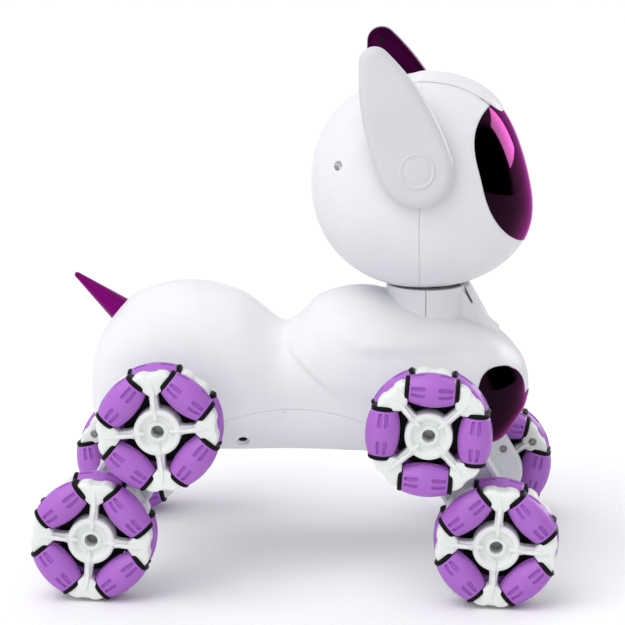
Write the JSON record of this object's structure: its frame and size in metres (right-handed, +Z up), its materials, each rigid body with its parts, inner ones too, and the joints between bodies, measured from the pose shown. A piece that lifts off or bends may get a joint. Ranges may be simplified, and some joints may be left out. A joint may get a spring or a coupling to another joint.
{
  "type": "robot dog toy",
  "caption": "Toy robot dog with a round visored head, leaf-shaped ears, a spike tail and splayed legs that carry omni wheels at hip and foot.",
  "frame": {"origin": "on the ground under the middle of the four hip axles", "axes": "+X towards the face, +Y to the dog's left, +Z up"},
  "size_m": [0.2528, 0.1804, 0.2631],
  "materials": {
    "shell_white": "satin moulded shell",
    "wheel_white": "satin moulded frame, slightly warm",
    "roller_lilac": "satin soft lilac",
    "arm_grey": "satin light grey",
    "belt_black": "matt",
    "steel": "plain steel",
    "magenta": "satin, deep magenta",
    "dark_gloss": "mirror gloss over near-black magenta",
    "black_plastic": "satin",
    "board_green": "lacquered circuit board",
    "cell_wrap": "shrink wrap"
  },
  "bodies": {
    "body": {"body_shell_left": "shell_white", "body_shell_right": "shell_white", "belly_pan": "shell_white", "battery_door": "shell_white", "battery_pack": "cell_wrap", "control_board": "board_green", "drive_motors": "steel", "speaker": "black_plastic", "case_screws": "steel", "chest_plate": "dark_gloss", "tail": "magenta", "neck": "shell_white"},
    "head": {"head_front": "shell_white", "head_rear": "shell_white", "head_screws": "steel", "turn_ring": "black_plastic", "crown_strip": "shell_white", "visor": "dark_gloss", "light_board": "board_green"},
    "ear_left": {"ear_shell_left": "shell_white", "ear_panel_left": "magenta"},
    "ear_right": {"ear_shell_right": "shell_white", "ear_panel_right": "magenta"},
    "power_switch": {"power_switch": "black_plastic"},
    "leg_front_right": {"arm_shell_front_right": "arm_grey", "arm_cover_front_right": "arm_grey", "drive_belt_front_right": "belt_black"},
    "wheel_front_right_hip": {"wheel_frame_front_right_hip": "wheel_white", "rollers_front_right_hip": "roller_lilac", "axle_front_right_hip": "steel"},
    "wheel_front_right_foot": {"wheel_frame_front_right_foot": "wheel_white", "rollers_front_right_foot": "roller_lilac", "axle_front_right_foot": "steel"},
    "leg_front_left": {"arm_shell_front_left": "arm_grey", "arm_cover_front_left": "arm_grey", "drive_belt_front_left": "belt_black"},
    "wheel_front_left_hip": {"wheel_frame_front_left_hip": "wheel_white", "rollers_front_left_hip": "roller_lilac", "axle_front_left_hip": "steel"},
    "wheel_front_left_foot": {"wheel_frame_front_left_foot": "wheel_white", "rollers_front_left_foot": "roller_lilac", "axle_front_left_foot": "steel"},
    "leg_rear_right": {"arm_shell_rear_right": "arm_grey", "arm_cover_rear_right": "arm_grey", "drive_belt_rear_right": "belt_black"},
    "wheel_rear_right_hip": {"wheel_frame_rear_right_hip": "wheel_white", "rollers_rear_right_hip": "roller_lilac", "axle_rear_right_hip": "steel"},
    "wheel_rear_right_foot": {"wheel_frame_rear_right_foot": "wheel_white", "rollers_rear_right_foot": "roller_lilac", "axle_rear_right_foot": "steel"},
    "leg_rear_left": {"arm_shell_rear_left": "arm_grey", "arm_cover_rear_left": "arm_grey", "drive_belt_rear_left": "belt_black"},
    "wheel_rear_left_hip": {"wheel_frame_rear_left_hip": "wheel_white", "rollers_rear_left_hip": "roller_lilac", "axle_rear_left_hip": "steel"},
    "wheel_rear_left_foot": {"wheel_frame_rear_left_foot": "wheel_white", "rollers_rear_left_foot": "roller_lilac", "axle_rear_left_foot": "steel"}
  },
  "joints": [
    {"name": "head_turn", "type": "hinge", "parent": "body", "child": "head", "pos_m": [0.061, 0, 0.145], "axis": [0, 0, 1], "range_deg": [-50, 50]},
    {"name": "power_switch_slide", "type": "slide", "parent": "body", "child": "power_switch", "axis": [1, 0, 0], "range_m": [0, 0.0036]},
    {"name": "ear_left_swing", "type": "hinge", "parent": "head", "child": "ear_left", "pos_m": [0.057, 0.054, 0.2045], "axis": [0, 1, 0], "range_deg": [-35, 35]},
    {"name": "ear_right_swing", "type": "hinge", "parent": "head", "child": "ear_right", "pos_m": [0.057, -0.054, 0.2045], "axis": [0, 1, 0], "range_deg": [-35, 35]},
    {"name": "leg_front_right_swing", "type": "hinge", "parent": "body", "child": "leg_front_right", "pos_m": [0.064, -0.048, 0.084], "axis": [0, -1, 0], "range_deg": [-31, 59]},
    {"name": "wheel_front_right_hip_spin", "type": "hinge", "parent": "leg_front_right", "child": "wheel_front_right_hip", "pos_m": [0.064, -0.075, 0.084], "axis": [0, 1, 0], "continuous": true},
    {"name": "wheel_front_right_foot_spin", "type": "hinge", "parent": "leg_front_right", "child": "wheel_front_right_foot", "pos_m": [0.09645, -0.075, 0.03], "axis": [0, 1, 0], "continuous": true},
    {"name": "leg_front_left_swing", "type": "hinge", "parent": "body", "child": "leg_front_left", "pos_m": [0.064, 0.048, 0.084], "axis": [0, -1, 0], "range_deg": [-31, 59]},
    {"name": "wheel_front_left_hip_spin", "type": "hinge", "parent": "leg_front_left", "child": "wheel_front_left_hip", "pos_m": [0.064, 0.075, 0.084], "axis": [0, 1, 0], "continuous": true},
    {"name": "wheel_front_left_foot_spin", "type": "hinge", "parent": "leg_front_left", "child": "wheel_front_left_foot", "pos_m": [0.09645, 0.075, 0.03], "axis": [0, 1, 0], "continuous": true},
    {"name": "leg_rear_right_swing", "type": "hinge", "parent": "body", "child": "leg_rear_right", "pos_m": [-0.064, -0.048, 0.084], "axis": [0, 1, 0], "range_deg": [-31, 59]},
    {"name": "wheel_rear_right_hip_spin", "type": "hinge", "parent": "leg_rear_right", "child": "wheel_rear_right_hip", "pos_m": [-0.064, -0.075, 0.084], "axis": [0, 1, 0], "continuous": true},
    {"name": "wheel_rear_right_foot_spin", "type": "hinge", "parent": "leg_rear_right", "child": "wheel_rear_right_foot", "pos_m": [-0.09645, -0.075, 0.03], "axis": [0, 1, 0], "continuous": true},
    {"name": "leg_rear_left_swing", "type": "hinge", "parent": "body", "child": "leg_rear_left", "pos_m": [-0.064, 0.048, 0.084], "axis": [0, 1, 0], "range_deg": [-31, 59]},
    {"name": "wheel_rear_left_hip_spin", "type": "hinge", "parent": "leg_rear_left", "child": "wheel_rear_left_hip", "pos_m": [-0.064, 0.075, 0.084], "axis": [0, 1, 0], "continuous": true},
    {"name": "wheel_rear_left_foot_spin", "type": "hinge", "parent": "leg_rear_left", "child": "wheel_rear_left_foot", "pos_m": [-0.09645, 0.075, 0.03], "axis": [0, 1, 0], "continuous": true}
  ],
  "couplings": [
    {"joint": "wheel_front_right_foot_spin", "follows": "wheel_front_right_hip_spin", "ratio": 1},
    {"joint": "wheel_front_left_foot_spin", "follows": "wheel_front_left_hip_spin", "ratio": 1},
    {"joint": "wheel_rear_right_foot_spin", "follows": "wheel_rear_right_hip_spin", "ratio": 1},
    {"joint": "wheel_rear_left_foot_spin", "follows": "wheel_rear_left_hip_spin", "ratio": 1}
  ]
}
